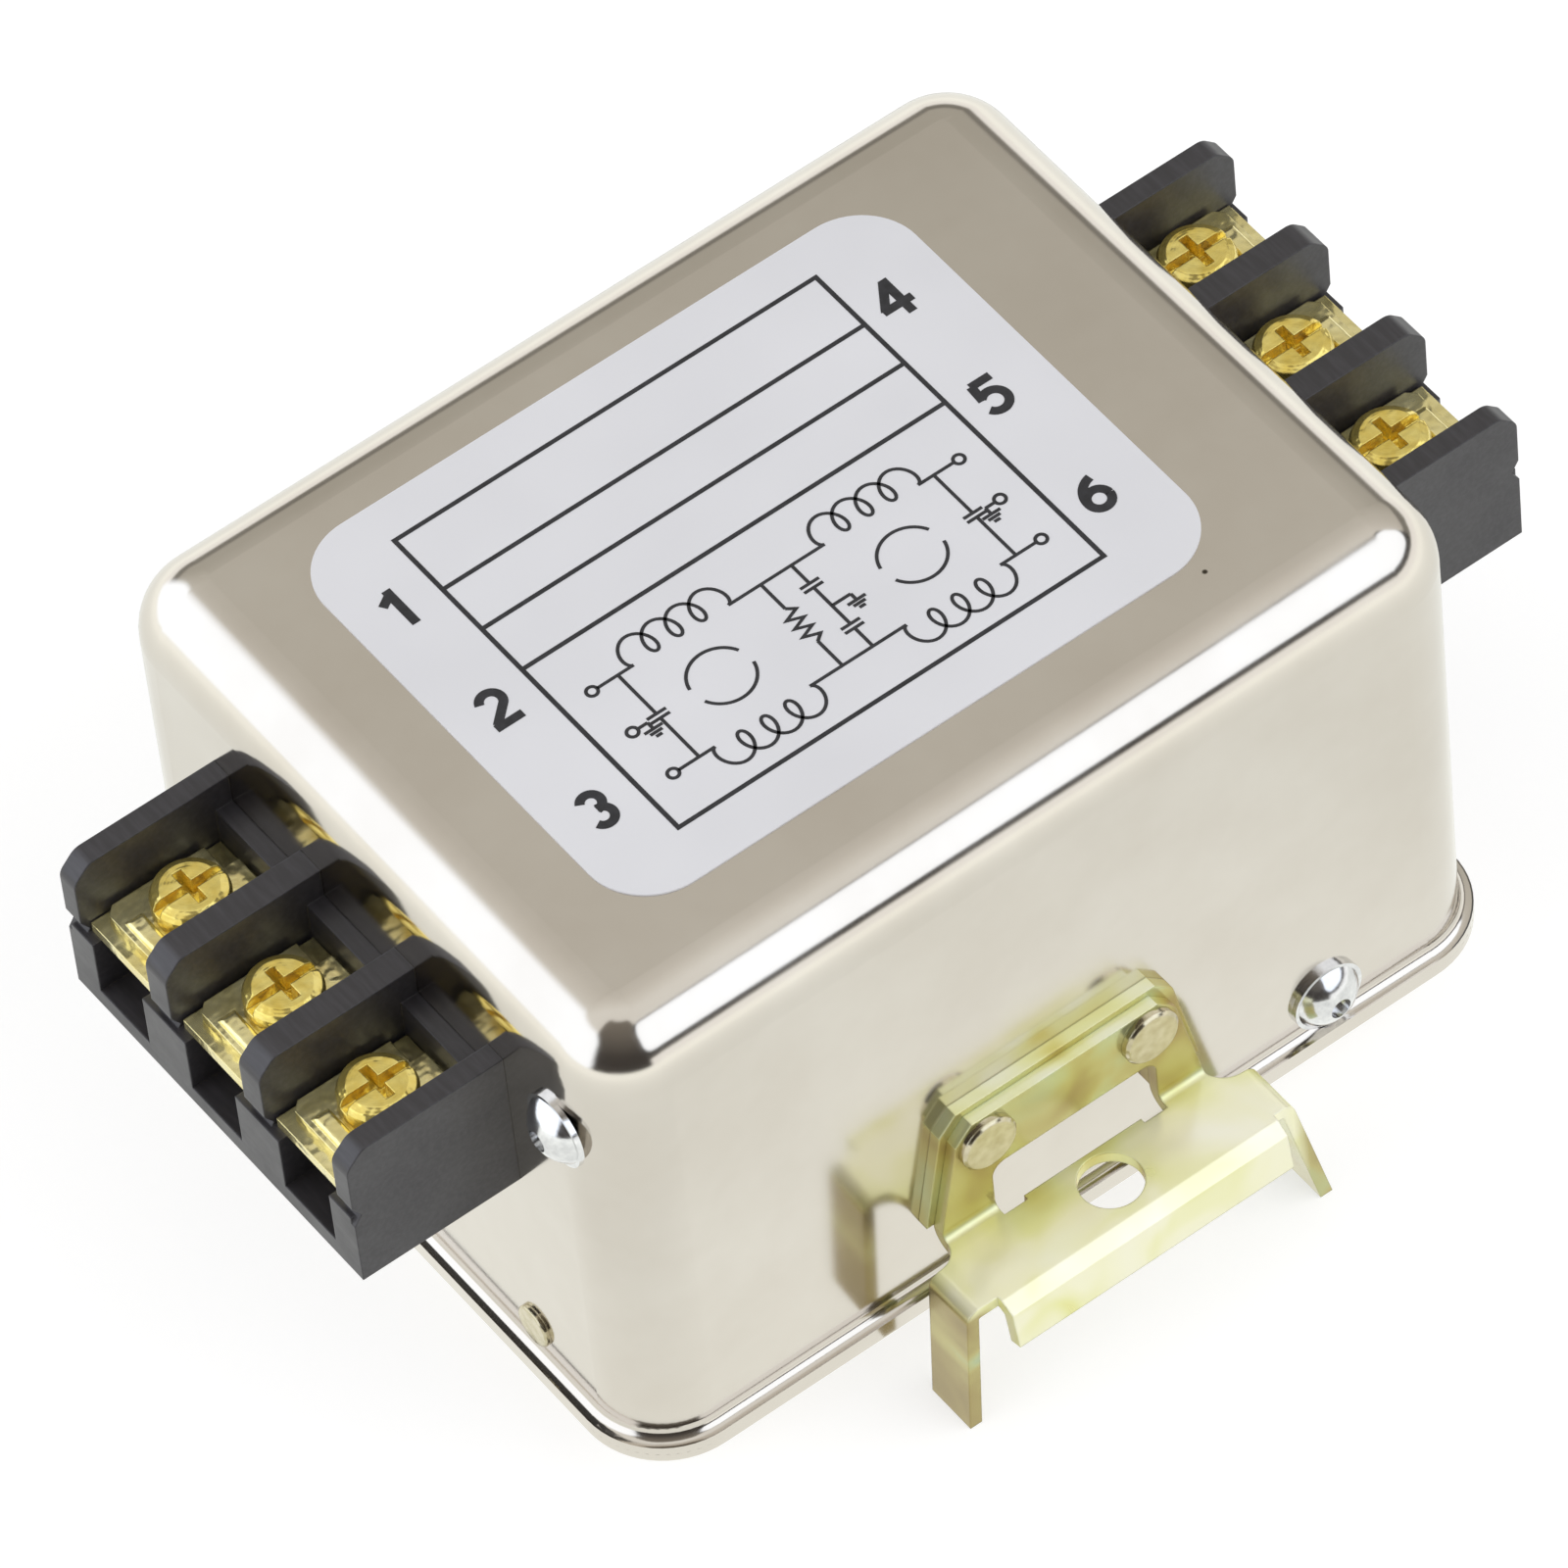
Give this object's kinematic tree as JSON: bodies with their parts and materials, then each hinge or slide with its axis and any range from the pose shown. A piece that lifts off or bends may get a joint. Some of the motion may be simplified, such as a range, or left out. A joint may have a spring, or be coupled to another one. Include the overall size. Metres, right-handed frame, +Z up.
{
  "type": "mains line filter",
  "caption": "Steel-cased mains line filter with a screw terminal block on each end and a rail clip on each long side.",
  "frame": {"origin": "centre of the base plate on its underside", "axes": "+X from the line end (three terminals) to the load end, +Z up through the labelled lid, +Y to the far rail clip"},
  "size_m": [0.12, 0.0934, 0.0592],
  "materials": {
    "nickel_steel": "nickel plated steel, satin",
    "label_film": "matt polyester film",
    "black_moulding": "black moulded plastic",
    "terminal_brass": "bright brass",
    "screw_brass": "yellow plated screw",
    "tinned_copper": "tinned copper",
    "lead_insulation": "green and yellow insulation",
    "rivet_aluminium": "bright",
    "rivet_steel": "plated",
    "chromated_steel": "yellow zinc chromate",
    "glass_laminate": "green solder mask",
    "white_nylon": "natural nylon",
    "ferrite": "matt dark grey",
    "enamelled_copper": "enamelled copper",
    "yellow_capacitor": "moulded case",
    "blue_ceramic": "dipped ceramic disc",
    "resistor_body": "lacquered"
  },
  "bodies": {
    "root": {"base_end_rivets": "rivet_steel", "base_plate": "nickel_steel", "base_side_rivets": "rivet_aluminium", "bleed_resistor": "resistor_body", "board_posts": "white_nylon", "case_can": "nickel_steel", "circuit_board": "glass_laminate", "earth_rivets": "rivet_aluminium", "far_clip_backing": "chromated_steel", "far_clip_rivets": "rivet_steel", "far_rail_clip": "chromated_steel", "lid_label": "label_film", "line_choke_core": "ferrite", "line_choke_divider": "white_nylon", "line_choke_live_winding": "enamelled_copper", "line_choke_neutral_winding": "enamelled_copper", "line_clamp_plates": "terminal_brass", "line_earth_lead": "lead_insulation", "line_earth_lug": "tinned_copper", "line_link_wire_1": "tinned_copper", "line_link_wire_2": "tinned_copper", "line_link_wire_3": "tinned_copper", "line_terminal_bar_1": "terminal_brass", "line_terminal_bar_2": "terminal_brass", "line_terminal_bar_3": "terminal_brass", "line_terminal_block": "black_moulding", "line_terminal_screws": "screw_brass", "line_x_capacitor": "yellow_capacitor", "live_y_capacitor": "blue_ceramic", "load_choke_core": "ferrite", "load_choke_divider": "white_nylon", "load_choke_live_winding": "enamelled_copper", "load_choke_neutral_winding": "enamelled_copper", "load_clamp_plates": "terminal_brass", "load_earth_lead": "lead_insulation", "load_earth_lug": "tinned_copper", "load_link_wire_1": "tinned_copper", "load_link_wire_2": "tinned_copper", "load_link_wire_3": "tinned_copper", "load_terminal_bar_1": "terminal_brass", "load_terminal_bar_2": "terminal_brass", "load_terminal_bar_3": "terminal_brass", "load_terminal_block": "black_moulding", "load_terminal_screws": "screw_brass", "load_x_capacitor": "yellow_capacitor", "middle_x_capacitor": "yellow_capacitor", "near_clip_backing": "chromated_steel", "near_clip_rivets": "rivet_steel", "near_rail_clip": "chromated_steel", "neutral_y_capacitor": "blue_ceramic"}
  },
  "joints": []
}
